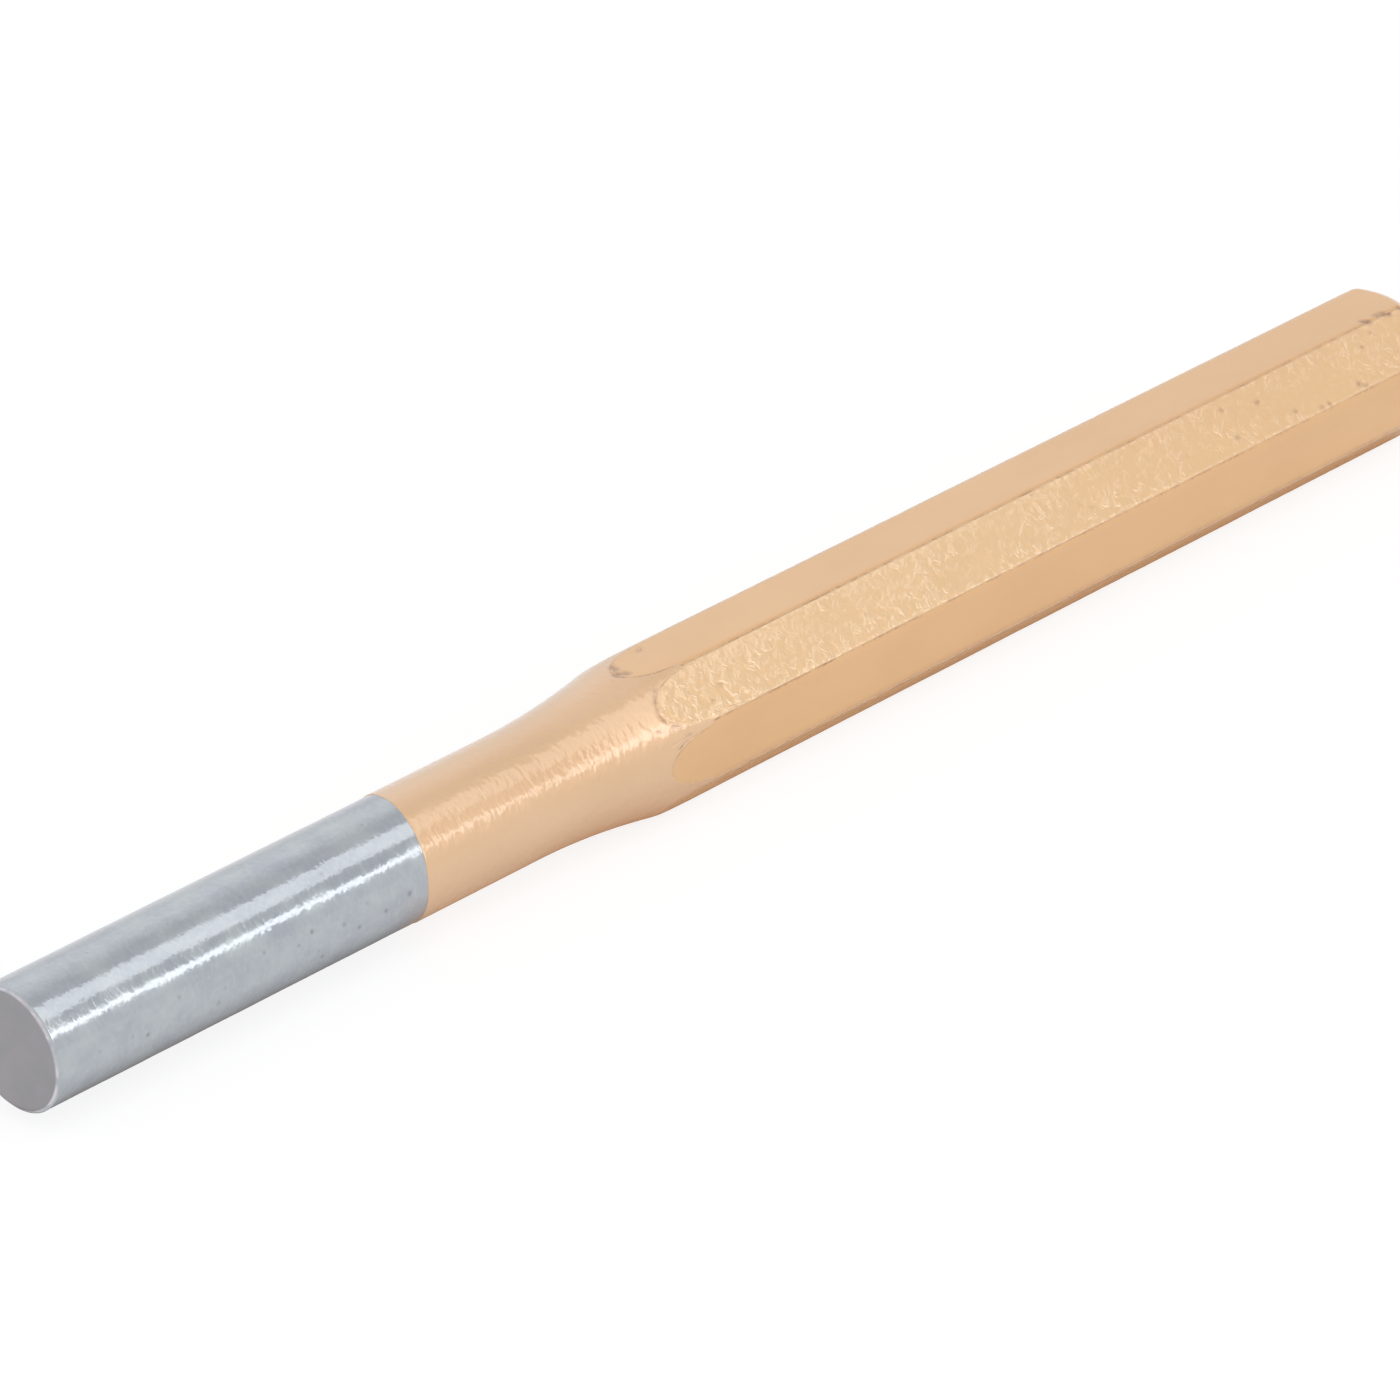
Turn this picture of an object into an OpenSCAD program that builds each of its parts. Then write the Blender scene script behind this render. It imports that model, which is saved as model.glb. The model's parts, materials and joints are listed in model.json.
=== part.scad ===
// Pin punch with an octagonal shank, a turned neck and a straight round pin.
// The tool lies along X, with the working end at the origin and the struck head at +X.
// It rests on one flat of the octagon, and +Z is up.

/* [Shank] */
// Overall length over the lacquer, from the pin's end face to the struck face
overall_len = 150; // [100:1:250]
// Width of the finished shank across two opposite flats, over the lacquer
across_flats = 12; // [11.5:0.1:20]
// How far the dressing of a corner reaches onto each of its two flats
corner_dress = 0.2; // [0.05:0.05:0.8]

/* [Pin] */
// Diameter of the straight pin, bare steel
pin_d = 10; // [6:0.1:10.6]
// Length of the straight pin, from its end face to the start of the neck
pin_len = 49.5; // [20:0.5:60]
// Size of the broken edge round the pin's end face
tip_break = 0.3; // [0.1:0.05:1]

/* [Neck] */
// Radius of the hollow sweep that leaves the pin
sweep_r = 68; // [30:1:120]
// Radius of the full round that runs the neck out over the corners
runout_r = 30; // [10:1:60]

/* [Head] */
// Diameter of the struck face, over bare steel
head_face_d = 10.9; // [8:0.1:11.6]
// Angle of the head's turned bevel, in degrees from the axis
bevel_angle = 40; // [20:1:60]

/* [Lacquer] */
// Thickness of the lacquer coat
coat_t = 0.06; // [0.04:0.01:0.2]
// Length of the pin left bare, from its end face to the middle of the lacquer's edge
bare_len = 37.5; // [5:0.5:45]
// Tilt of the lacquer's edge about the upright axis, in degrees from square
edge_tilt = 10; // [0:1:15]

/* [Hidden] */

// Facets of a turned surface, and steps along each arc of the neck
turn_facets = 120;
sweep_steps = 12;
runout_steps = 8;

// How far cutting shapes run past what they cut
overrun = 2;

// The bar has eight flats, and a corner stands half a step from the middle of a flat
flats = 8;
half_step = 180 / flats;

steel_af = across_flats - 2 * coat_t;
steel_len = overall_len - coat_t;
pin_r = pin_d / 2;

// Radius that the bar's corners are dressed to, which is also the neck's crest
flat_half_w = steel_af / 2 * tan(half_step);
dressed_r = norm([steel_af / 2, flat_half_w - corner_dress]);

// The neck rises from the pin to its crest in two arcs that meet at its steepest slope
neck_slope = acos(1 - (dressed_r - pin_r) / (sweep_r + runout_r));
crest_x = pin_len + (sweep_r + runout_r) * sin(neck_slope);

// Points of the hollow sweep, from the pin to the steepest slope: radius, distance along the axis
function sweep_points(grow) = [
    for (i = [0 : sweep_steps])
        let (a = neck_slope * i / sweep_steps, r = sweep_r - grow)
            [pin_r + sweep_r - r * cos(a), pin_len + r * sin(a)]
];

// Points of the full round, from the steepest slope to the crest
function runout_points(grow) = [
    for (i = [1 : runout_steps])
        let (a = neck_slope * (1 - i / runout_steps), r = runout_r + grow)
            [dressed_r - runout_r + r * cos(a), crest_x - r * sin(a)]
];

// Half section of the turned form, grown outwards: radius, distance along the axis
module turned_section(grow) {
    turned_r = dressed_r + grow;
    face_r = head_face_d / 2 + grow * tan((90 - bevel_angle) / 2);
    face_x = steel_len + grow;
    bevel_len = (turned_r - face_r) / tan(bevel_angle);
    polygon(concat(
        [[0, 0], [pin_r + grow - tip_break, 0], [pin_r + grow, tip_break]],
        sweep_points(grow),
        runout_points(grow),
        [[turned_r, face_x - bevel_len], [face_r, face_x], [0, face_x]]
    ));
}

// The punch's whole form, grown outwards: an octagonal bar inside the turned form
module punch_form(grow) {
    bar_corner_r = (steel_af / 2 + grow) / cos(half_step);
    rotate([0, 90, 0])
        intersection() {
            rotate_extrude($fn = turn_facets)
                turned_section(grow);
            translate([0, 0, -overrun])
                linear_extrude(overall_len + 2 * overrun)
                    rotate(half_step)
                        circle(r = bar_corner_r, $fn = flats);
        }
}

// One forging of tool steel: pin, neck, shank and head
module steel_forging() {
    color([0.62, 0.65, 0.69])
        punch_form(0);
}

// Mask over the bare end of the pin: a block whose inner face carries the edge's tilt
module bare_mask() {
    reach = across_flats;
    tilt_shift = reach * tan(edge_tilt);
    translate([0, 0, -reach])
        linear_extrude(2 * reach)
            polygon([
                [-overrun, -reach],
                [bare_len - tilt_shift, -reach],
                [bare_len + tilt_shift, reach],
                [-overrun, reach]
            ]);
}

// Lacquer over everything but the bare end of the pin
module lacquer_coat() {
    color([0.87, 0.72, 0.54])
        difference() {
            punch_form(coat_t);
            punch_form(0);
            bare_mask();
        }
}

steel_forging();
lacquer_coat();
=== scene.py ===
import itertools
import json
import math

import bpy
import numpy as np
from mathutils import Matrix, Vector


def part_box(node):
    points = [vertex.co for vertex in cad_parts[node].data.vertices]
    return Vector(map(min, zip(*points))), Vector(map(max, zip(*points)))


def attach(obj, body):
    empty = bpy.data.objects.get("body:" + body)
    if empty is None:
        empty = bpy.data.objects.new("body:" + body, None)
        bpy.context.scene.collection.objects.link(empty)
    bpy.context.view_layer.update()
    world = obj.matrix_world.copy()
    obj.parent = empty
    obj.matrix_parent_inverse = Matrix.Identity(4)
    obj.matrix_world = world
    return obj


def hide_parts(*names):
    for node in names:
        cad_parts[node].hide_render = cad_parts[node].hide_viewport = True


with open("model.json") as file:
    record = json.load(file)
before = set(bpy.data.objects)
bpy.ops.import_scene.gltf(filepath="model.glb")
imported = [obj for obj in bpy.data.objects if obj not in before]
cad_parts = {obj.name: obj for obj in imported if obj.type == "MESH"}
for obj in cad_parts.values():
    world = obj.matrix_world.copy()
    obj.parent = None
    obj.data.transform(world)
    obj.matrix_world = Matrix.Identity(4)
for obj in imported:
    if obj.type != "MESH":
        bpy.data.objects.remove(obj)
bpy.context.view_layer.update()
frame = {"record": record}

# The punch lies along X with its working end at the origin, and +Z is up. Its surfaces are worked out in
# millimetres, as a radius at a place x along the tool and an angle round it, from +Y towards +Z.
MM = 0.001

# Sizes from the frame
steel_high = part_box("steel_forging")[1]
coat_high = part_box("lacquer_coat")[1]
working_pin = next(m for m in frame["record"]["mounts"] if m["name"] == "working_pin")
overall_len = coat_high.x / MM
half_flats = coat_high.y / MM
coat_t = (coat_high.x - steel_high.x) / MM
steel_len = overall_len - coat_t
pin_r = working_pin["dims"]["r_mm"]

# Sizes of the turned and dressed forms
tip_break = 0.3
pin_len = working_pin["dims"]["length_mm"] + tip_break
sweep_r = 68.0
runout_r = 30.0
corner_dress = 0.2
face_r = 5.45
bevel_slope = math.tan(math.radians(40))
bare_len = 37.5
edge_slope = math.tan(math.radians(10))

# The bar's flats face every eighth of a turn, the first one towards +Y. Every second flat slants, and
# is left a little crowned by the forging. All of them are a hair proud next to the neck.
FLATS = 8
flat_step = 2 * math.pi / FLATS
slant_crown = 0.06
nose_rise = 0.05
nose_len = 12.0

# What follows from these sizes: the bar's flats under the lacquer, the radius of its dressed corners,
# where the neck's two arcs meet at their steepest, and where the upper arc reaches its crest
steel_half_flats = half_flats - coat_t
flat_half_w = steel_half_flats * math.tan(flat_step / 2)
dressed_r = math.hypot(steel_half_flats, flat_half_w - corner_dress)
neck_slope = math.acos(1 - (dressed_r - pin_r) / (sweep_r + runout_r))
steepest_x = pin_len + sweep_r * math.sin(neck_slope)
crest_x = pin_len + (sweep_r + runout_r) * math.sin(neck_slope)

# Softness of the edges where two surfaces of the punch meet, and of the bevel's more rounded rim
edge_blend = 0.035
bevel_blend = 0.45

# Hidden surfaces: the coat's inner wall and the steel's core under it lie this far below the bare steel.
# The steel dives down to its core a little past the lacquer's edge.
inner_wall_drop = 0.10
core_drop = 0.16
dive_gap = 0.4
dive_len = 1.0

# Rows of a hidden surface on the head's bevel, as distances before its end, and the rings that close it
# there, as shares of its last radius
hidden_bevel_rows = np.array([1.4, 1.1, 0.8, 0.5, 0.25, 0.0])
closing_shares = np.array([[0.75], [0.4], [0.1]])

# Noise lattice: long along the tool, so that no pattern comes back
LATTICE = (1024, 64, 64)


def smooth_step(share):
    """The curve 3t^2 - 2t^3 of a share held from 0 to 1."""
    share = np.clip(share, 0, 1)
    return share * share * (3 - 2 * share)


def bell(distance, width):
    """A bell over a line: e^-(distance / width)^2."""
    return np.exp(-((distance / width) ** 2))


def soft_min(a, b, blend):
    """The lower of two heights. Where they are closer than blend, a parabola rounds the corner off."""
    near = np.clip(1 - np.abs(a - b) / blend, 0, 1)
    return np.minimum(a, b) - near * near * blend / 4


def turned_radius(x, grow):
    """Radius of the turned form at x: the straight pin, then a hollow arc of sweep_r, then a full arc
    of runout_r up to the crest, then straight. Grow moves the whole line outwards."""
    hollow = pin_r + sweep_r - np.sqrt(np.maximum((sweep_r - grow) ** 2 - (x - pin_len) ** 2, 0))
    full = dressed_r - runout_r + np.sqrt(np.maximum((runout_r + grow) ** 2 - (crest_x - x) ** 2, 0))
    return np.select(
        [x < pin_len, x < steepest_x, x < crest_x],
        [np.full_like(x, pin_r + grow), hollow, full],
        dressed_r + grow,
    )


def off_middle(angle):
    """Angle from the middle of the nearest flat."""
    return (angle + flat_step / 2) % flat_step - flat_step / 2


def is_slanting(angle):
    """1 on the four slanting flats and 0 on the level and upright ones."""
    return np.round(angle / flat_step) % 2


def bar_radius(x, angle, grow):
    """Radius of the octagonal bar: the distance to a flat over the cosine of the angle from its middle.
    A flat is a parabola across, which stands its crown and its rise next to the neck higher in the
    middle than at its corners."""
    across_share = np.tan(off_middle(angle)) / math.tan(flat_step / 2)
    proud = slant_crown * is_slanting(angle) + nose_rise * (1 - smooth_step((x - crest_x) / nose_len))
    return (steel_half_flats + grow + proud * (1 - across_share**2)) / np.cos(off_middle(angle))


def bevel_radius(x, grow):
    """Radius of the head's bevel: a straight cone that ends at the struck face."""
    tip_r = face_r + grow * math.tan((math.pi / 2 - math.atan(bevel_slope)) / 2)
    return tip_r + (steel_len + grow - x) * bevel_slope


def form_radius(x, angle, grow):
    """Radius of the whole form: the least of the turned line, the bar and the bevel, with soft edges."""
    body = soft_min(turned_radius(x, grow), bar_radius(x, angle, grow), edge_blend)
    return soft_min(body, bevel_radius(x, grow), bevel_blend)


def scallop_x(angle, grow):
    """Where the neck's full arc cuts the bar at this angle: the place on the arc with the bar's radius."""
    rise = np.minimum(bar_radius(crest_x, angle, grow), dressed_r + grow) - (dressed_r - runout_r)
    return crest_x - np.sqrt(np.maximum((runout_r + grow) ** 2 - rise**2, 0))


def past_scallop(x, angle):
    """How far a place on the coat lies past the scallop's rim, square to the rim: the way along the tool
    over the root of one plus the square of the rim's slope."""
    turn = 0.01
    rim_change = scallop_x(angle + turn, coat_t) - scallop_x(angle - turn, coat_t)
    rim_slope = rim_change / (2 * turn * half_flats)
    return (x - scallop_x(angle, coat_t)) / np.sqrt(1 + rim_slope**2)


def bevel_x(angle, grow):
    """Where the bevel's cone cuts the bar or its dressed corner at this angle."""
    face_x = steel_len + grow
    top_r = np.minimum(bar_radius(face_x, angle, grow), dressed_r + grow)
    return face_x - (top_r - bevel_radius(face_x, grow)) / bevel_slope


def edge_x(angle):
    """The lacquer's edge: a plane tilted about the upright axis, with the slight waver of a masked line,
    which is the sum of three sine waves."""
    tilt = (pin_r + coat_t) * np.cos(angle) * edge_slope
    waver = 0.035 * np.sin(3 * angle + 0.6) + 0.02 * np.sin(7 * angle + 2.1) + 0.012 * np.sin(17 * angle)
    return bare_len + tilt + waver


def lattice_noise(points, cell, seed):
    """Smooth noise from -1 to 1. A lattice of cells holds random values, and each point blends the
    eight values round it with the fade 6t^5 - 15t^4 + 10t^3."""
    values = np.random.default_rng(seed).uniform(-1, 1, LATTICE)
    places = points / np.asarray(cell, float) + 0.5 * np.asarray(LATTICE)
    low = np.floor(places).astype(int)
    part = places - low
    fade = part**3 * (part * (6 * part - 15) + 10)
    total = np.zeros(points.shape[:-1])
    for corner in itertools.product((0, 1), repeat=3):
        at = (low + corner) % LATTICE
        weight = np.prod(np.where(corner, fade, 1 - fade), axis=-1)
        total += weight * values[at[..., 0], at[..., 1], at[..., 2]]
    return total


def raised_noise(points, cell, seed):
    """The same noise, from 0 to 1."""
    return 0.5 + 0.5 * lattice_noise(points, cell, seed)


def dents(points, centres, widths, depths):
    """Depth of round dents: each is a bell, its depth times e^-(distance / width)^2."""
    total = np.zeros(points.shape[:-1])
    for centre, width, depth in zip(centres, widths, depths):
        squared = np.sum((points - centre) ** 2, axis=-1)
        total += depth * np.exp(-squared / width**2)
    return total


def crowded(start, stop, finest, coarsest, reach):
    """Places after start and up to stop, crowded at both ends: the step grows from finest to coarsest
    over reach, and the places are where the sum of one over the step passes whole counts."""
    samples = 8001
    fine = np.linspace(start, stop, samples)
    away = np.minimum(fine - start, stop - fine)
    step = np.minimum(finest + (coarsest - finest) * away / reach, coarsest)
    count = np.concatenate([[0], np.cumsum((1 / step[1:] + 1 / step[:-1]) / 2 * np.diff(fine))])
    whole = np.linspace(0, count[-1], int(count[-1]) + 2)
    return np.interp(whole, count, fine)[1:]


def ring_points(x, radius, angle):
    """Points at a place along the tool, a radius and an angle from +Y towards +Z."""
    return np.stack(np.broadcast_arrays(x, radius * np.cos(angle), radius * np.sin(angle)), axis=-1)


def link_object(name, data):
    """An object with this mesh, lamp or camera, put in the scene."""
    shown = bpy.data.objects.new(name, data)
    bpy.context.scene.collection.objects.link(shown)
    return shown


def skin_faces(rows, columns):
    """Faces of a closed skin with its rings' points in order and its two end points last: quads between
    neighbouring rings, and a fan from each end ring to its own end point."""
    row, column = np.meshgrid(np.arange(rows - 1), np.arange(columns), indexing="ij")
    here = row * columns + column
    beside = row * columns + (column + 1) % columns
    quads = np.stack([here, beside, beside + columns, here + columns], axis=-1).reshape(-1, 4)
    around = np.arange(columns)
    after = (around + 1) % columns
    first_pole = np.full(columns, rows * columns)
    last_row = (rows - 1) * columns
    first_fan = np.stack([first_pole, after, around], axis=-1)
    last_fan = np.stack([first_pole + 1, last_row + around, last_row + after], axis=-1)
    return quads.tolist() + first_fan.tolist() + last_fan.tolist()


def closed_skin(name, rings, fields):
    """A closed mesh from a grid of rings, each of them a row of points round the tool. The first and
    last ring are closed to their own middles. Each field is kept as an attribute of the points."""
    rows, columns, _ = rings.shape
    poles = np.stack([rings[0].mean(axis=0), rings[-1].mean(axis=0)])
    points = np.concatenate([rings.reshape(-1, 3), poles]) * MM
    mesh = bpy.data.meshes.new(name)
    mesh.from_pydata(points.tolist(), [], skin_faces(rows, columns))
    mesh.polygons.foreach_set("use_smooth", np.ones(len(mesh.polygons), bool))
    for label, values in fields.items():
        values = np.concatenate([values.ravel(), [values[0].mean(), values[-1].mean()]])
        mesh.attributes.new(label, "FLOAT", "POINT").data.foreach_set("value", values.astype(np.float32))
    mesh.update()
    return link_object(name, mesh)


def chosen_pits(table, grow):
    """Centres, widths and depths of the pits in a table, on the form grown outwards. Their degrees go up
    from the middle of the near side, which faces -Y."""
    x, degrees_up, widths, depths = np.array(table).T
    angle = math.pi - np.radians(degrees_up)
    return ring_points(x, form_radius(x, angle, grow), angle), widths, depths


def random_pits(count, seed, start, stop, grow, widths, depths):
    """Centres, widths and depths of pits scattered evenly along and round the form."""
    draw = np.random.default_rng(seed)
    x = draw.uniform(start, stop, count)
    angle = draw.uniform(0, 2 * math.pi, count)
    centres = ring_points(x, form_radius(x, angle, grow), angle)
    return centres, draw.uniform(*widths, count), draw.uniform(*depths, count)


# The steel: bare on the pin, and a plain hidden core under the lacquer
STEEL_COLUMNS = 256
core_row_step = 3.0
core_end = steel_len - core_drop

# Where the end face meets its broken edge
face_edge_x = 0.022

# Small pits in the bare pin: place along it, degrees up from the near side, width, depth
pin_pits = [
    (8.7, -6, 0.15, 0.030),
    (15.6, -10, 0.20, 0.012),
    (20.3, 15, 0.14, 0.016),
    (23.6, 6, 0.12, 0.018),
    (25.0, 12, 0.16, 0.026),
    (26.0, -18, 0.14, 0.026),
    (28.1, 4, 0.16, 0.016),
    (29.6, -6, 0.20, 0.020),
    (32.3, -3, 0.15, 0.030),
    (34.7, 2, 0.20, 0.024),
]


def end_face_rings(angle):
    """The end face from its middle outwards: hollow by a hair, slightly uneven, and worn off with the
    fourth power of the radius."""
    inner_r = 0.2
    hollow = 0.012
    uneven = 0.006
    worn = 0.010
    radius = np.linspace(inner_r, pin_r - tip_break, 20)[:, None]
    unevenness = lattice_noise(ring_points(0, radius, angle), cell=(3, 0.9, 0.9), seed=15)
    x = hollow + uneven * unevenness + worn * (radius / pin_r) ** 4
    x[-1] = face_edge_x
    return ring_points(x, radius, angle)


def broken_edge_rings(angle):
    """The broken edge: a cone from the end face out to the pin, with nicks that are deepest halfway."""
    nick_depth = 0.05
    along_share = np.linspace(0, 1, 5)[1:, None]
    x = face_edge_x + (tip_break - face_edge_x) * along_share
    radius = pin_r - tip_break + tip_break * along_share
    nick = nick_depth * raised_noise(ring_points(x, radius, angle), cell=0.45, seed=16)
    nick = nick * 4 * along_share * (1 - along_share)
    return ring_points(x + nick, radius - nick, angle)


def steel_rows():
    """Places of the wall's rows along the tool: along the bare pin, down the dive under the lacquer,
    along the core in wide steps and down the head's bevel."""
    last_core_gap = 1.8
    dive_start = bare_len + dive_gap
    pin = crowded(tip_break, dive_start, finest=0.05, coarsest=0.13, reach=1.0)
    dive = dive_start + dive_len * np.linspace(0, 1, 6)[1:]
    core = np.arange(dive[-1] + core_row_step, core_end - core_row_step, core_row_step)
    return np.concatenate([pin, dive, core, [core_end - last_core_gap], core_end - hidden_bevel_rows])


def grinding_depth(skin):
    """Depth that grinding takes off the pin: short strokes and ripples, and longer waves."""
    even = 0.010
    strokes = 0.0012 * lattice_noise(skin, cell=(0.28, 1.2, 1.2), seed=11)
    ripples = 0.0038 * lattice_noise(skin, cell=(0.32, 0.60, 0.60), seed=12)
    short_waves = 0.008 * lattice_noise(skin, cell=(1.8, 1.5, 1.5), seed=13)
    long_waves = 0.014 * lattice_noise(skin, cell=(6, 3, 3), seed=17)
    return even + strokes + ripples + (short_waves + long_waves)


def make_steel():
    """The forging's skin as one line turned round X: out across the end face, over the broken edge,
    along the pin, then down under the lacquer and on to the head as a plain hidden core."""
    angle = np.linspace(0, 2 * math.pi, STEEL_COLUMNS, endpoint=False)[None, :]
    end_face = end_face_rings(angle)
    broken_edge = broken_edge_rings(angle)

    # The wall's rows bend towards the lacquer's edge, so that the last bare one follows it
    bend_start = 25.0
    bend_stop = 50.0
    bend_out_len = 10.5
    along = steel_rows()[:, None]
    bend_in = smooth_step((along - bend_start) / (bare_len - bend_start))
    bend_out = smooth_step((bend_stop - along) / bend_out_len)
    x = along + (edge_x(angle) - bare_len) * bend_in * bend_out
    dive_share = smooth_step((along - bare_len - dive_gap) / dive_len)
    radius = form_radius(x, angle, 0) - core_drop * dive_share

    # Ground skin with pits left open, chosen ones on the near side and fine ones all round
    skin = ring_points(x, radius, angle)
    ground = grinding_depth(skin)
    fine_pits = random_pits(
        count=60, seed=14, start=1.5, stop=bare_len - 1, grow=0, widths=(0.09, 0.15), depths=(0.004, 0.014)
    )
    pit = dents(skin, *chosen_pits(pin_pits, 0)) + dents(skin, *fine_pits)
    radius = radius - (1 - dive_share) * (ground + pit)
    wall = ring_points(x, radius, angle)
    core_face = ring_points(core_end, radius[-1:] * closing_shares, angle)

    # Fields for the finish: the end face, the broken edge's worn start with a painted highlight, the pits
    rings = np.concatenate([end_face, broken_edge, wall, core_face])
    edge_start = len(end_face)
    wall_start = edge_start + len(broken_edge)
    full_pit = 0.02
    worn = smooth_step(1.6 * raised_noise(broken_edge, cell=(0.6, 0.7, 0.7), seed=18) - 0.2)
    fields = {label: np.zeros(rings.shape[:2]) for label in ("end_face", "rim", "pit")}
    fields["end_face"][:edge_start] = 1
    fields["rim"][edge_start : edge_start + 2] = worn[:2]
    fields["pit"][wall_start : wall_start + len(wall)] = np.clip(pit / full_pit, 0, 1)
    return closed_skin("punch_steel", rings, fields)


# The lacquer: a closed shell. Its columns are even across each flat, finer on the rough slanting
# flats, and three stand on each dressed corner. One row follows the scallops, one the bevel's rim.
slanting_columns = 27
straight_columns = 17
corner_columns = 3
scallop_row = 63.0
bevel_row = overall_len - 0.9
inner_end = steel_len - inner_wall_drop

# The rounded bead of the lacquer's edge: its length, its rows as shares of that length, and how much of
# the coat's thickness each row is short of the full form
bead_len = 0.10
bead_row_shares = np.array([0.0, 0.12, 0.35, 0.65, 1.0])
bead_round_shares = np.array([1.4, 0.70, 0.28, 0.07, 0.0])

# Nicks and pits in the lacquered steel: place along it, degrees up from the near side, width, depth
shank_nicks = [
    (61.9, 101, 0.26, 0.06),
    (61.8, 96, 0.28, 0.08),
    (61.3, 89, 0.32, 0.10),
    (61.9, 86, 0.28, 0.08),
    (65.2, 104, 0.22, 0.08),
    (62.3, 60, 0.20, 0.05),
    (62.0, 56, 0.20, 0.04),
    (61.7, 52, 0.24, 0.05),
    (61.6, 47, 0.20, 0.03),
    (61.5, 42, 0.18, 0.04),
    (61.5, 38, 0.18, 0.04),
    (62.3, 30, 0.24, 0.05),
    (60.6, 32, 0.16, 0.05),
    (63.1, 20, 0.20, 0.06),
    (62.3, 16, 0.20, 0.06),
    (67.9, 43, 0.16, 0.05),
    (66.5, 35, 0.16, 0.05),
    (68.3, 25, 0.16, 0.05),
    (125.9, 34, 0.18, 0.05),
    (126.0, 58, 0.18, 0.06),
    (129.7, 51, 0.20, 0.07),
    (132.7, 32, 0.18, 0.05),
    (135.4, 26, 0.18, 0.05),
    (136.3, 26, 0.18, 0.05),
    (140.2, 29, 0.22, 0.07),
    (140.8, 26, 0.18, 0.05),
    (142.6, 53, 0.16, 0.05),
    (144.4, 70, 0.28, 0.09),
    (144.8, 68, 0.24, 0.06),
    (146.0, 70, 0.26, 0.07),
    (146.6, 69, 0.28, 0.09),
    (147.1, 66, 0.24, 0.07),
    (148.4, 67, 0.22, 0.06),
]


def coat_angles():
    """Angles of the coat's columns, from the corner below the first flat once round the tool."""
    flat_edge = math.atan2(flat_half_w - corner_dress, steel_half_flats)
    corner = np.linspace(flat_edge, flat_step - flat_edge, corner_columns + 2)[1:-1]
    columns = []
    for number in range(FLATS):
        count = slanting_columns if number % 2 else straight_columns
        across = np.arctan(np.linspace(-1, 1, count) * math.tan(flat_edge))
        columns += [number * flat_step + across, number * flat_step + corner]
    return np.concatenate(columns)[None, :]


def follow_edge(along, angle):
    """Rows bent to follow the lacquer's edge, fully at the edge and no more at a fade's length past it."""
    fade = 8.0
    return along + (edge_x(angle) - bare_len) * smooth_step((bare_len + fade - along) / fade)


def outer_rows(angle):
    """Places of the outer wall's rows: the bead of the edge, the neck, the shank and the bevel. They bend
    to follow the lacquer's edge, the scallops' rims and the bevel's rim, and straighten in between."""
    shank_fade = 15.0
    bevel_fade = 7.0
    bead = bare_len + bead_len * bead_row_shares
    neck = crowded(bead[-1], scallop_row, finest=0.05, coarsest=0.30, reach=3.0)
    shank = crowded(scallop_row, bevel_row, finest=0.05, coarsest=0.272, reach=2.0)
    along = np.concatenate([bead, neck, shank])[:, None]
    bend_in = smooth_step((along - pin_len) / (scallop_row - pin_len))
    bend_out = smooth_step((scallop_row + shank_fade - along) / shank_fade)
    bevel_bend = smooth_step((along - bevel_row + bevel_fade) / bevel_fade)
    x = follow_edge(along, angle)
    x = x + (scallop_x(angle, coat_t) - scallop_row) * bend_in * bend_out
    x = x + (bevel_x(angle, coat_t) - bevel_row) * bevel_bend
    bevel = x[-1:] + (overall_len - x[-1:]) * np.linspace(0, 1, 9)[1:, None]
    return np.concatenate([x, bevel])


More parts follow.
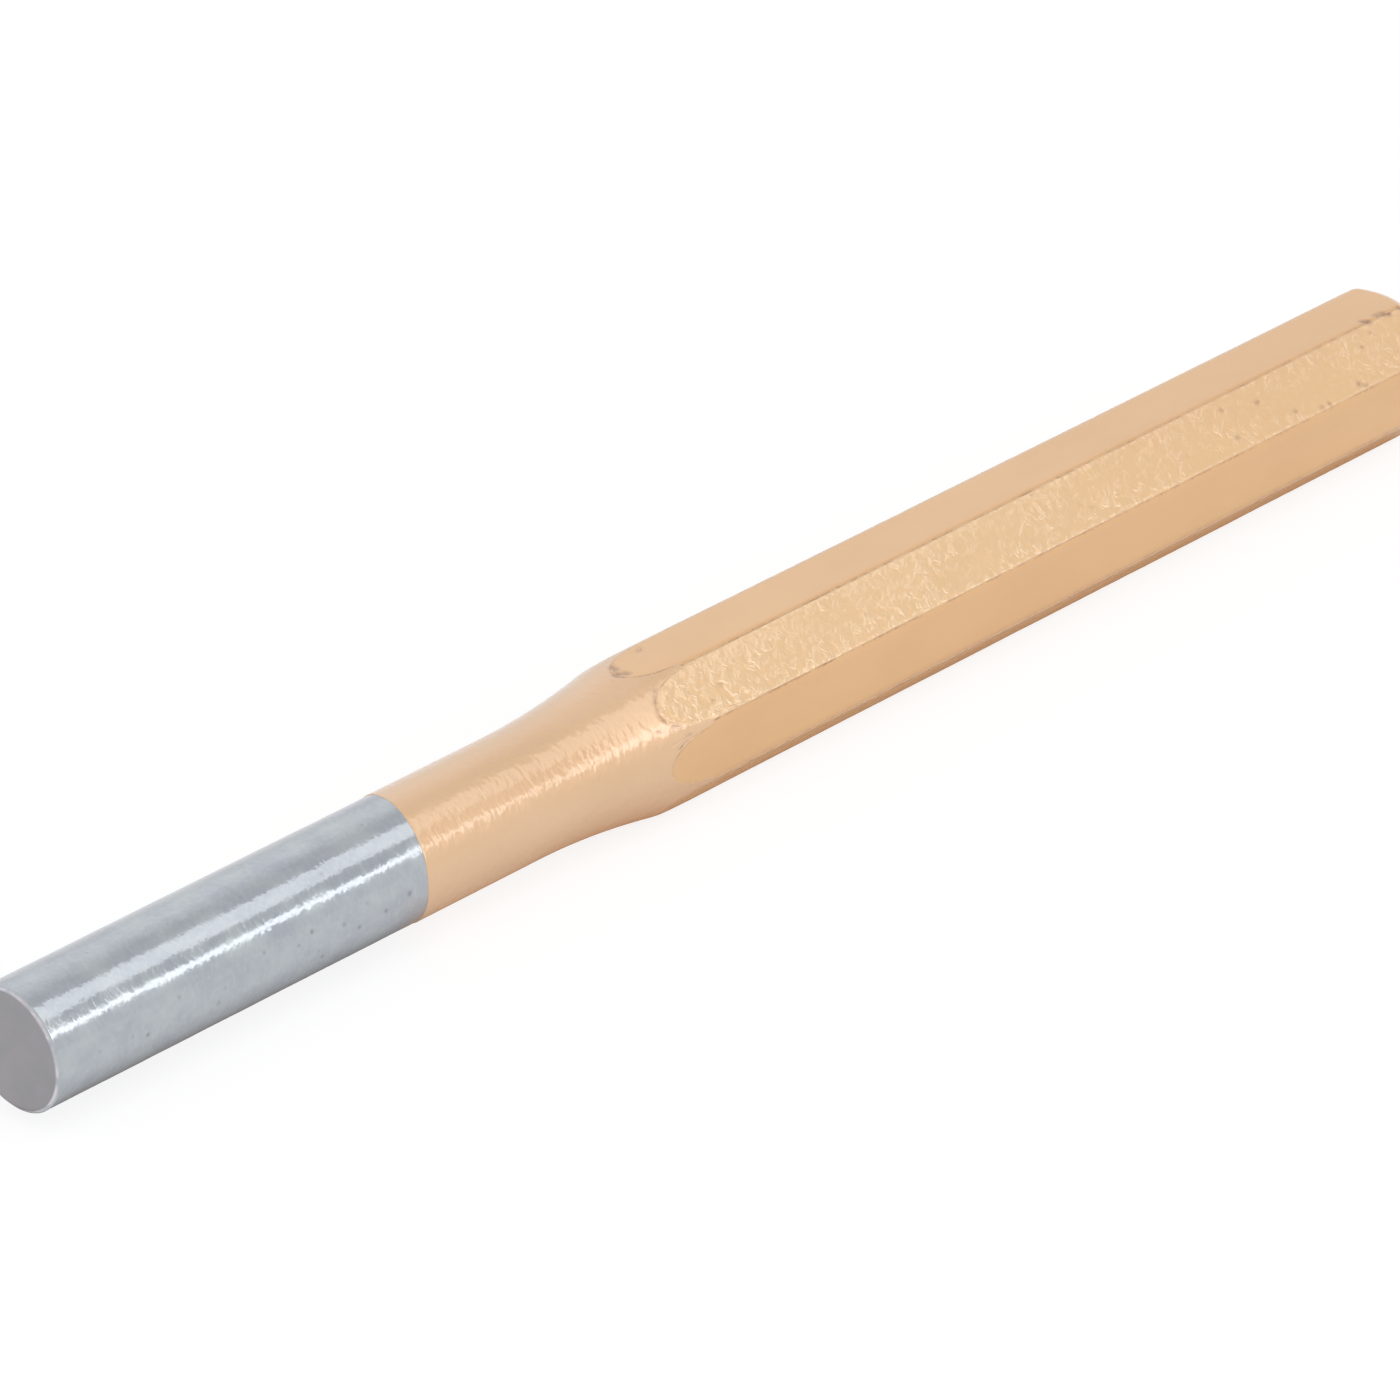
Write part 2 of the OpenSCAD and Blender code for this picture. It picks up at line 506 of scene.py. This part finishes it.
def coat_relief(x, angle, points):
    """Depth of the coat's surface below the even form, and the fields that its finish follows. Forged
    skin is lumpy on the slanting flats and finer on the others, the neck has turning marks, and a thin
    ragged line of nicks follows the dressed corners and the scallops' rims."""
    rim_blend = 0.16
    even_skin_share = 0.06
    to_corner = half_flats * (math.tan(flat_step / 2) - np.tan(np.abs(off_middle(angle))))
    to_scallop = past_scallop(x, angle)
    on_bar = smooth_step(to_scallop / rim_blend + 0.5)
    skin_share = on_bar * (even_skin_share + (1 - even_skin_share) * is_slanting(angle))

    # Lumps of forged skin in patches, the bar's long waves, and marks and waves of turning on the neck
    patches = raised_noise(points, cell=(6, 3, 3), seed=20)
    fine_grain = 0.010 * raised_noise(points, cell=0.38, seed=21)
    coarse_grain = 0.012 * raised_noise(points, cell=0.8, seed=22)
    forged = skin_share * (0.35 + 1.1 * patches) * (fine_grain + coarse_grain)
    waves = on_bar * 0.012 * raised_noise(points, cell=(14, 6, 6), seed=23)
    turning_marks = 0.003 * raised_noise(points, cell=(0.7, 1.4, 1.4), seed=24)
    turning_waves = 0.008 * raised_noise(points, cell=(9, 4, 4), seed=25)
    turned = (1 - on_bar) * (turning_marks + turning_waves)

    # A ragged line along each corner and rim. The rims are cleaner on the upright flats than on the
    # level ones.
    line_depth = 0.03
    rim_line_fade = 0.6
    upright_rim_share = 0.45
    rim_share = upright_rim_share + (1 - upright_rim_share) * np.sin(angle) ** 2
    corner_line = bell(to_corner, width=0.09) * on_bar
    rim_line = bell(to_scallop, width=0.08) * smooth_step(to_corner / rim_line_fade) * rim_share
    line = np.maximum(corner_line, rim_line)
    raggedness = lattice_noise(points, cell=(0.9, 0.4, 0.4), seed=26)
    ragged_share = np.clip(0.5 + 0.3 * rim_line + 0.7 * raggedness, 0, 1)

    # Chosen nicks on the near side, and random pits mostly on the slanting flats
    deepest = 0.10
    fine_pits = random_pits(
        count=70,
        seed=28,
        start=crest_x,
        stop=overall_len - 3,
        grow=coat_t,
        widths=(0.10, 0.16),
        depths=(0.01, 0.05),
    )
    pits = dents(points, *chosen_pits(shank_nicks, coat_t)) + skin_share * dents(points, *fine_pits)
    relief = forged + waves + turned + line_depth * line * ragged_share + np.minimum(pits, deepest)

    # Fields for the finish, some of which also carry the painted sheen and glints. The forged skin is a
    # little plainer on the head's half of the shank.
    full_pit = 0.05
    plainer_start = 95
    plainer_len = 35
    plainer_share = 0.25 * smooth_step((x - plainer_start) / plainer_len)
    fields = {
        "bar": on_bar,
        "skin": on_bar * is_slanting(angle) * (1 - plainer_share),
        "corner_lumps_and_glints": bell(to_corner, width=0.6) * on_bar * is_slanting(angle),
        "edge_line": line * ragged_share,
        "pit": np.clip(pits / full_pit, 0, 1),
    }
    return relief, fields


def outer_wall(angle):
    """Places and radii of the outer wall, and its fields. The relief is faint on the bead of the edge and
    at the struck face's rim."""
    bead_relief_share = 0.2
    rim_relief_share = 0.3
    bead_rows = len(bead_round_shares)
    x = outer_rows(angle)
    radius = form_radius(x, angle, coat_t)
    radius[:bead_rows] -= coat_t * bead_round_shares[:, None]
    relief, fields = coat_relief(x, angle, ring_points(x, radius, angle))
    relief[:bead_rows] *= bead_relief_share
    relief[-1] *= rim_relief_share
    return x, radius - relief, fields


def struck_face(rim_r, angle):
    """The struck face from its rim inwards: slightly uneven, and worn off with the fourth power of the
    share of its radius."""
    uneven = 0.008
    worn = 0.012
    rim_shares = np.array([0.96, 0.88, 0.76, 0.6, 0.42, 0.25, 0.1])[:, None]
    face = ring_points(overall_len, rim_r * rim_shares, angle)
    face[..., 0] -= uneven * raised_noise(face, cell=1.1, seed=31) + worn * rim_shares**4
    return face


def inner_wall(angle):
    """The inner wall, from the middle of the head's hidden face back to the lacquer's edge, where it
    rises to lie just under the bare steel."""
    edge_drop = 0.01
    rise_start = 0.3
    rise_len = 1.0
    under_edge = bare_len + np.array([0.0, 0.3, 0.7, 1.3, 7.5])
    under_neck = np.arange(pin_len, crest_x + 3, 1.5)
    under_shank = np.array([90, 120, inner_end - 2.4])
    along = np.concatenate([under_edge, under_neck, under_shank])[:, None]
    bevel = np.broadcast_to(inner_end - hidden_bevel_rows[:, None], (len(hidden_bevel_rows), angle.size))
    x = np.concatenate([follow_edge(along, angle), bevel])
    drop_share = smooth_step((x - edge_x(angle) - rise_start) / rise_len)
    drop = edge_drop + (inner_wall_drop - edge_drop) * drop_share
    radius = form_radius(x, angle, 0) - drop
    hidden_face = ring_points(inner_end, radius[-1:] * closing_shares[::-1], angle)
    return np.concatenate([hidden_face, ring_points(x, radius, angle)[::-1]])


def make_coat():
    """The coat's skin as one line turned round X: back along the inner wall, over the lacquer's edge,
    out along the neck, the shank and the bevel, and in across the struck face."""
    angle = coat_angles()
    inner = inner_wall(angle)
    x, radius, outer_fields = outer_wall(angle)
    rings = np.concatenate([inner, ring_points(x, radius, angle), struck_face(radius[-1:], angle)])
    outer_start = len(inner)
    face_start = outer_start + len(x)
    fields = {label: np.zeros(rings.shape[:2]) for label in outer_fields}
    for label, values in outer_fields.items():
        fields[label][outer_start:face_start] = values
    fields["bar"][face_start:] = 1
    return closed_skin("punch_lacquer", rings, fields)


def empty_tree(owner, output_kind):
    """The emptied node tree of a material or world, with a new output node."""
    owner.use_nodes = True
    owner.node_tree.nodes.clear()
    return owner.node_tree, owner.node_tree.nodes.new(output_kind)


def plug(tree, node, inputs):
    """Gives a node its inputs, by name or number. Each is a plain value, or a socket to link."""
    for place, value in inputs.items():
        if isinstance(value, bpy.types.NodeSocket):
            tree.links.new(value, node.inputs[place])
        else:
            node.inputs[place].default_value = value
    return node


def noise(tree, scale, detail=2.0, roughness=0.5, distortion=0.0):
    """Noise on Object coordinates. The scale says how many cells one metre holds, each way."""
    place = tree.nodes.new("ShaderNodeTexCoord").outputs["Object"]
    mapping = plug(tree, tree.nodes.new("ShaderNodeMapping"), {"Vector": place, "Scale": scale})
    inputs = {
        "Vector": mapping.outputs["Vector"],
        "Scale": 1.0,
        "Detail": detail,
        "Roughness": roughness,
        "Distortion": distortion,
    }
    return plug(tree, tree.nodes.new("ShaderNodeTexNoise"), inputs).outputs["Fac"]


def field(tree, label):
    """A field that the piece's mesh carries."""
    node = tree.nodes.new("ShaderNodeAttribute")
    node.attribute_name = label
    return node.outputs["Fac"]


def remap(tree, value, span, onto):
    """The value's span, held and stretched onto another span."""
    ends = dict(zip(("From Min", "From Max", "To Min", "To Max"), (*span, *onto)))
    return plug(tree, tree.nodes.new("ShaderNodeMapRange"), {"Value": value, **ends}).outputs["Result"]


def calc(tree, operation, *values):
    """A Math node on sockets and plain numbers."""
    node = tree.nodes.new("ShaderNodeMath")
    node.operation = operation
    return plug(tree, node, dict(enumerate(values))).outputs["Value"]


def blend_colour(tree, share, a, b):
    """Colour a where the share is 0 and b where it is 1. Each is a colour or a socket."""
    node = tree.nodes.new("ShaderNodeMix")
    node.data_type = "RGBA"
    a, b = ((*colour, 1) if isinstance(colour, tuple) else colour for colour in (a, b))
    return plug(tree, node, {"Factor": share, 6: a, 7: b}).outputs[2]


def bump(tree, height, rise, under=None):
    """A Bump node: one unit of the pattern stands as high as the rise, in millimetres."""
    inputs = {"Height": height, "Distance": rise * MM, "Strength": 1.0}
    if under is not None:
        inputs["Normal"] = under
    return plug(tree, tree.nodes.new("ShaderNodeBump"), inputs).outputs["Normal"]


def new_material(name):
    """An empty node material with one Principled shader, and its tree."""
    material = bpy.data.materials.new(name)
    tree, output = empty_tree(material, "ShaderNodeOutputMaterial")
    shader = tree.nodes.new("ShaderNodeBsdfPrincipled")
    tree.links.new(shader.outputs["BSDF"], output.inputs["Surface"])
    return material, tree, shader


def steel_material():
    """Ground tool steel: bluish grey and a little mottled, with short strokes across it from the
    grinding wheel, dark pits, a duller end face, and a brighter broken edge, partly worn and partly a
    painted highlight."""
    dark_steel = (0.435, 0.46, 0.508)
    pale_steel = (0.50, 0.535, 0.562)
    stroke_tone = (0.56, 0.59, 0.63)
    dark_end = (0.36, 0.355, 0.37)
    pale_end = (0.41, 0.395, 0.415)
    worn_edge_and_highlight_tone = (0.78, 0.71, 0.73)
    pit_tone = (0.20, 0.20, 0.22)

    material, tree, shader = new_material("ground_steel")
    strokes = noise(tree, (2800, 1700, 1700), detail=1)
    mottle = noise(tree, (260, 400, 400), detail=3, roughness=0.6)
    mottle_share = remap(tree, mottle, (0.36, 0.64), (0, 1))
    end_face = field(tree, "end_face")
    tone = blend_colour(tree, mottle_share, dark_steel, pale_steel)
    tone = blend_colour(tree, remap(tree, strokes, (0.45, 0.7), (0, 0.25)), tone, stroke_tone)
    tone = blend_colour(tree, end_face, tone, blend_colour(tree, mottle_share, dark_end, pale_end))
    # Painted highlight: the broken edge's worn start is brighter and pinkish, partly wear, partly highlight
    tone = blend_colour(tree, calc(tree, "MULTIPLY", field(tree, "rim"), 0.75), tone, worn_edge_and_highlight_tone)
    tone = blend_colour(tree, calc(tree, "MULTIPLY", field(tree, "pit"), 0.6), tone, pit_tone)
    rough = remap(tree, mottle, (0.3, 0.7), (0.10, 0.20))
    rough = calc(tree, "ADD", rough, calc(tree, "MULTIPLY", end_face, 0.35))
    normal = bump(tree, strokes, rise=0.02)
    plug(tree, shader, {"Metallic": 1.0, "Base Color": tone, "Roughness": rough, "Normal": normal})
    return material


def lacquer_material():
    """Gold-bronze metallic lacquer under a clear gloss: warm tan, a little paler on the turned neck, with
    a lumpy skin on the forged flats that is painted creamier and carries cream flecks, both partly a
    painted sheen and painted glints, and a thin dark line along the edges."""
    dark_neck = (0.79, 0.48, 0.24)
    pale_neck = (0.82, 0.505, 0.265)
    dark_bar = (0.81, 0.44, 0.155)
    pale_bar = (0.84, 0.465, 0.17)
    skin_and_sheen_tone = (0.90, 0.65, 0.38)
    fleck_and_glint_tone = (0.95, 0.74, 0.48)
    edge_tone = (0.48, 0.20, 0.07)
    pit_tone = (0.30, 0.12, 0.04)

    material, tree, shader = new_material("bronze_lacquer")
    skin = field(tree, "skin")
    bar = field(tree, "bar")
    clouds = remap(tree, noise(tree, (110, 220, 220)), (0.35, 0.65), (0, 1))
    neck_tone = blend_colour(tree, clouds, dark_neck, pale_neck)
    bar_tone = blend_colour(tree, clouds, dark_bar, pale_bar)
    tone = blend_colour(tree, bar, neck_tone, bar_tone)
    # Painted sheen: the forged skin is blended towards cream, partly its own tone, partly the sheen it
    # shows
    tone = blend_colour(tree, calc(tree, "MULTIPLY", skin, 0.45), tone, skin_and_sheen_tone)

    # Cream flecks, partly painted glints, lie where a distorted noise is near its middle, broken into
    # short curls by another one. They come in patches of the forged skin and all along its corners, where
    # they stand in for glints off the lumps and the rounded corners.
    curls = noise(tree, (1150, 1150, 1150), detail=1, distortion=0.7)
    off_line = calc(tree, "ABSOLUTE", calc(tree, "SUBTRACT", curls, 0.5))
    breaks = remap(tree, noise(tree, (1500, 1500, 1500), detail=0), (0.42, 0.56), (0.1, 1))
    curl_line = calc(tree, "MULTIPLY", remap(tree, off_line, (0, 0.13), (1, 0)), breaks)
    patches = remap(tree, noise(tree, (150, 300, 300)), (0.40, 0.60), (0.35, 1))
    rough_share = calc(tree, "MULTIPLY", skin, calc(tree, "MAXIMUM", patches, field(tree, "corner_lumps_and_glints")))
    fleck_and_glint_share = calc(tree, "MULTIPLY", calc(tree, "MULTIPLY", curl_line, rough_share), 0.32)
    tone = blend_colour(tree, fleck_and_glint_share, tone, fleck_and_glint_tone)

    # Dark broken lines along the corners and scallops, and dark curls in the pits
    crumbs = remap(tree, noise(tree, (3200, 2200, 2200), detail=1), (0.40, 0.55), (0.3, 1))
    edge_share = calc(tree, "MULTIPLY", field(tree, "edge_line"), crumbs)
    tone = blend_colour(tree, calc(tree, "MULTIPLY", edge_share, 0.7), tone, edge_tone)
    in_pit = calc(tree, "ADD", calc(tree, "MULTIPLY", curl_line, 0.3), 0.6)
    tone = blend_colour(tree, calc(tree, "MULTIPLY", field(tree, "pit"), in_pit), tone, pit_tone)
    flake = noise(tree, (3800, 3800, 3800), roughness=0.7)
    rough = remap(tree, flake, (0.3, 0.7), (0.36, 0.41))

    # Relief: turning marks, which are deep on the neck and faint on the bar, and lumps of forged skin
    marks = noise(tree, (2300, 1200, 1200), detail=1, roughness=0.4)
    marks = calc(tree, "MULTIPLY", marks, remap(tree, bar, (0, 1), (1, 0.02)))
    lumps = noise(tree, (1300, 1300, 1300), detail=1, roughness=0.4)
    lumps = calc(tree, "ADD", lumps, calc(tree, "MULTIPLY", curl_line, 0.30))
    lumps = calc(tree, "MULTIPLY", lumps, calc(tree, "ADD", rough_share, 0.008))
    normal = bump(tree, lumps, rise=0.10, under=bump(tree, marks, rise=0.06))

    plug(tree, shader, {"Metallic": 0.4, "Base Color": tone, "Roughness": rough, "Normal": normal})
    plug(tree, shader, {"Coat Weight": 1.0, "Coat Roughness": 0.12, "Coat IOR": 2.0, "Coat Normal": normal})
    return material


def light_path(tree, *rays):
    """1 for any of the named rays, and 0 for the others."""
    path = tree.nodes.new("ShaderNodeLightPath")
    total = path.outputs[rays[0]]
    for ray in rays[1:]:
        total = calc(tree, "MAXIMUM", total, path.outputs[ray])
    return total


def mix_looks(tree, share, a, b):
    """Look a where the share is 0 and b where it is 1."""
    node = tree.nodes.new("ShaderNodeMixShader")
    return plug(tree, node, {"Fac": share, 1: a, 2: b}).outputs["Shader"]


def contact_shade(tree):
    """A colour for the paper's glow. It goes from the colour in the open to a darker one where the
    punch stands close over the paper and hides the sky from it. Beside the bare steel the darker one
    is grey. Past the lacquer's edge it is warm and reaches farther out, as the lacquer tints it."""
    in_open = (0.83, 0.83, 0.83)
    beside_steel = (0.13, 0.115, 0.11)
    beside_lacquer = (0.41, 0.20, 0.08)
    sky_reach = 20.0
    sky = plug(tree, tree.nodes.new("ShaderNodeAmbientOcclusion"), {"Distance": sky_reach * MM})
    sky.samples = 8
    steel_part = remap(tree, sky.outputs["AO"], (0.18, 0.68), (0, 1))
    lacquer_part = remap(tree, sky.outputs["AO"], (0.18, 0.85), (0, 1))
    place = tree.nodes.new("ShaderNodeTexCoord").outputs["Object"]
    axes = plug(tree, tree.nodes.new("ShaderNodeSeparateXYZ"), {"Vector": place})
    past_edge = remap(tree, axes.outputs["X"], ((bare_len - 1) * MM, (bare_len + 3) * MM), (0, 1))
    steel_side = blend_colour(tree, steel_part, beside_steel, in_open)
    lacquer_side = blend_colour(tree, lacquer_part, beside_lacquer, in_open)
    return blend_colour(tree, past_edge, steel_side, lacquer_side)


def paper_look(tree, paper_share, glow, shade=(1, 1, 1, 1)):
    """Pale paper that also glows a little: a grey diffuse surface plus an emission, which is white
    unless a shade is given."""
    grey = (paper_share, paper_share, paper_share, 1)
    paper = plug(tree, tree.nodes.new("ShaderNodeBsdfDiffuse"), {"Color": grey})
    light = plug(tree, tree.nodes.new("ShaderNodeEmission"), {"Color": shade, "Strength": glow})
    both = {0: paper.outputs["BSDF"], 1: light.outputs["Emission"]}
    return plug(tree, tree.nodes.new("ShaderNodeAddShader"), both).outputs["Shader"]


def make_floor():
    """A plain pale sheet under the punch, which rests on the raised end of its lowest flat. The sheet
    gives plain light off its paper. Seen by the camera it glows up to white and keeps a faint shadow,
    and in the punch's gloss it keeps more of the shadow."""
    half = 3.0
    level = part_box("lacquer_coat")[0].z - nose_rise * MM
    corners = [(-half, -half, level), (half, -half, level), (half, half, level), (-half, half, level)]
    mesh = bpy.data.meshes.new("floor")
    mesh.from_pydata(corners, [], [(0, 1, 2, 3)])
    floor = link_object("floor", mesh)
    material = bpy.data.materials.new("floor_paper")
    mesh.materials.append(material)
    tree, output = empty_tree(material, "ShaderNodeOutputMaterial")
    plain = paper_look(tree, paper_share=0.72, glow=0.0)
    mirrored = paper_look(tree, paper_share=0.14, glow=1.0, shade=contact_shade(tree))
    seen = paper_look(tree, paper_share=0.24, glow=0.83)
    look = mix_looks(tree, light_path(tree, "Is Glossy Ray", "Is Transmission Ray"), plain, mirrored)
    look = mix_looks(tree, light_path(tree, "Is Camera Ray"), look, seen)
    tree.links.new(look, output.inputs["Surface"])


def make_world():
    """Even pale surroundings, white round the horizon, with a greyer ceiling that leans towards the
    near side. For the camera and the punch's gloss the ceiling is brighter than it is for plain light,
    and a slightly brighter patch lies halfway up the far side. Ceiling and patch follow how far a
    direction points along an axis of their own."""
    world = bpy.data.worlds.new("studio")
    bpy.context.scene.world = world
    tree, output = empty_tree(world, "ShaderNodeOutputWorld")
    direction = tree.nodes.new("ShaderNodeTexCoord").outputs["Generated"]

    def along_axis(axis):
        """How far a direction points along an axis."""
        node = tree.nodes.new("ShaderNodeVectorMath")
        node.operation = "DOT_PRODUCT"
        return plug(tree, node, {0: direction, 1: axis}).outputs["Value"]

    def background(strength):
        """A white background of this strength."""
        node = tree.nodes.new("ShaderNodeBackground")
        return plug(tree, node, {"Color": (1, 1, 1, 1), "Strength": strength}).outputs["Background"]

    ceiling_axis = (0, -0.2, 0.98)
    ceiling_span = (0.49, 0.63)
    patch_axis = (0, 0.7, 0.71)
    patch_span = (0.72, 0.78)
    upwards = along_axis(ceiling_axis)
    plain_ceiling = remap(tree, upwards, ceiling_span, (0.795, 0.47))
    shown_ceiling = remap(tree, upwards, ceiling_span, (0.91, 0.78))
    far_patch = remap(tree, along_axis(patch_axis), patch_span, (0, 0.13))
    shown = calc(tree, "ADD", shown_ceiling, far_patch)
    is_shown = light_path(tree, "Is Camera Ray", "Is Glossy Ray", "Is Transmission Ray")
    look = mix_looks(tree, is_shown, background(plain_ceiling), background(shown))
    tree.links.new(look, output.inputs["Surface"])


def make_lamp(name, rise, start, stop, width, brightness):
    """A flat lamp along the tool, from start to stop on X. It stands off the tool's axis, raised by an
    angle from the near side, and faces the axis. Its power is its brightness times its area times pi."""
    stand_off = 0.7
    data = bpy.data.lights.new(name, "AREA")
    data.shape = "RECTANGLE"
    data.size = stop - start
    data.size_y = width
    data.energy = brightness * data.size * width * math.pi
    back = Vector((0, -math.cos(math.radians(rise)), math.sin(math.radians(rise))))
    side = Vector((1, 0, 0))
    middle = side * (start + stop) / 2 + back * stand_off
    turned = Matrix((side, back.cross(side), back)).transposed().to_4x4()
    link_object(name, data).matrix_world = Matrix.Translation(middle) @ turned


def make_camera():
    """The camera of the photograph: turned and raised about a target on the tool's axis, with a slight
    roll. Its lens is its focal length in pixels over the width of the frame, times the sensor."""
    turn, rise, roll = (math.radians(a) for a in (-44.556, 28.736, -1.409))
    target = Vector((70.094, 0, 0.272)) * MM
    distance = 687.84 * MM
    focal_px = 9002.08
    frame_px = 1400
    back = Vector((math.sin(turn) * math.cos(rise), -math.cos(turn) * math.cos(rise), math.sin(rise)))
    level = Vector((math.cos(turn), math.sin(turn), 0))
    upright = back.cross(level)
    right = level * math.cos(roll) + upright * math.sin(roll)
    up = upright * math.cos(roll) - level * math.sin(roll)
    turned = Matrix((right, up, back)).transposed().to_4x4()
    data = bpy.data.cameras.new("camera")
    data.sensor_width = 36
    data.lens = focal_px / frame_px * data.sensor_width
    data.clip_start = 0.01
    camera = link_object("camera", data)
    camera.matrix_world = Matrix.Translation(target + back * distance) @ turned
    bpy.context.scene.camera = camera


make_camera()
make_world()
make_floor()
make_lamp("strip_lamp", rise=30.3, start=-0.45, stop=0.70, width=0.12, brightness=1.25)
make_lamp("soft_lamp", rise=70.0, start=-0.45, stop=0.70, width=0.33, brightness=0.6)
make_lamp("end_lamp", rise=39.0, start=-0.25, stop=0.40, width=0.46, brightness=0.8)
bpy.context.scene.view_settings.view_transform = "Standard"

steel = make_steel()
steel.data.materials.append(steel_material())
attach(steel, "root")
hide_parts("steel_forging")

coat = make_coat()
coat.data.materials.append(lacquer_material())
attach(coat, "root")
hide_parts("lacquer_coat")
